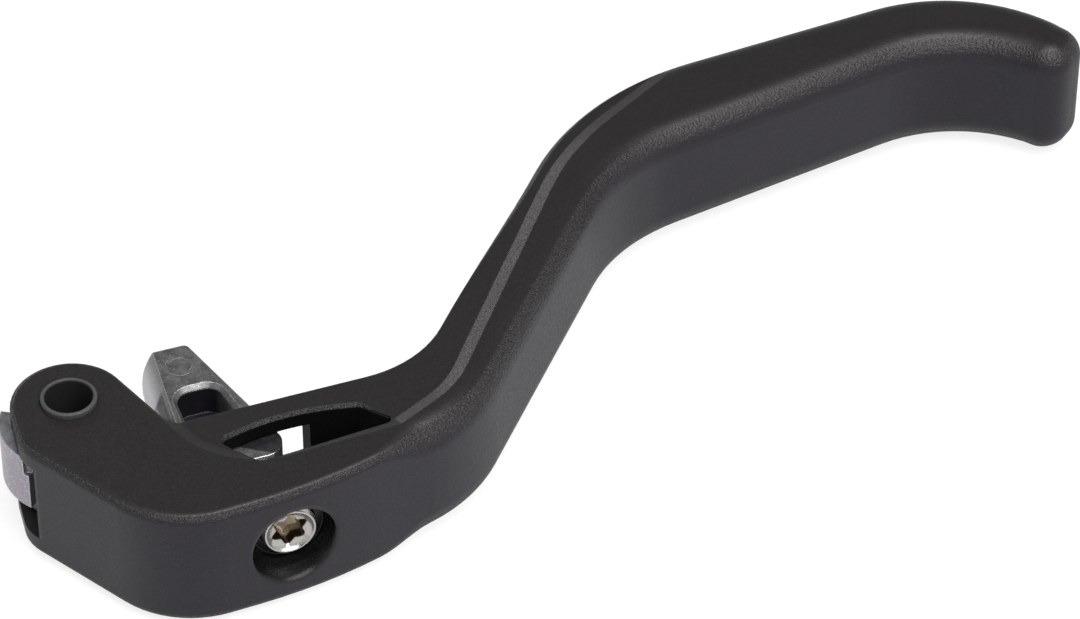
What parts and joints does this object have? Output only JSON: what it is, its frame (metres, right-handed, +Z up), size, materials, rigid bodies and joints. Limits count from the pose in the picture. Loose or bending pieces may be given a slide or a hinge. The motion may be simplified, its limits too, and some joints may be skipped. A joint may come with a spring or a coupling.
{
  "type": "bicycle brake lever",
  "caption": "Black bicycle brake lever blade with a hooked finger tip, pivot bush, cast thrust arm with a push face, and a reach adjuster screw.",
  "frame": {"origin": "on the pivot axis at mid height of the hub", "axes": "+Z up the pivot axis, +X along the finger section to the hooked tip, -Y the side the fingers pull from, where the reach adjuster faces"},
  "size_m": [0.1328, 0.0564, 0.0158],
  "materials": {
    "black_coat": "satin black powder coat with a fine grain, over forged aluminium",
    "bush_grey": "matte dark grey plain bearing",
    "cast_zinc": null,
    "screw_steel": "bare turned steel",
    "pad_brass": "turned brass"
  },
  "bodies": {
    "blade": {"lever_blade": "black_coat", "pivot_bush": "bush_grey"},
    "arm": {"thrust_arm": "cast_zinc"},
    "pad": {"thrust_pad": "pad_brass"},
    "screw": {"reach_screw": "screw_steel"}
  },
  "joints": [
    {"name": "pad_travel", "type": "slide", "parent": "blade", "child": "pad", "axis": [0, 1, 0], "range_m": [-0.001, 0.002]},
    {"name": "reach_turn", "type": "hinge", "parent": "pad", "child": "screw", "pos_m": [0.0177, -0.0195, 0], "axis": [0, 1, 0], "range_deg": [-360, 720]},
    {"name": "arm_pivot", "type": "hinge", "parent": "blade", "child": "arm", "pos_m": [0, 0, 0], "axis": [0, 0, 1], "range_deg": [-3.3, 6.6]}
  ],
  "couplings": [
    {"joint": "reach_turn", "follows": "pad_travel", "rad_per_m": 6283.2},
    {"joint": "arm_pivot", "follows": "pad_travel", "rad_per_m": 56.497}
  ]
}
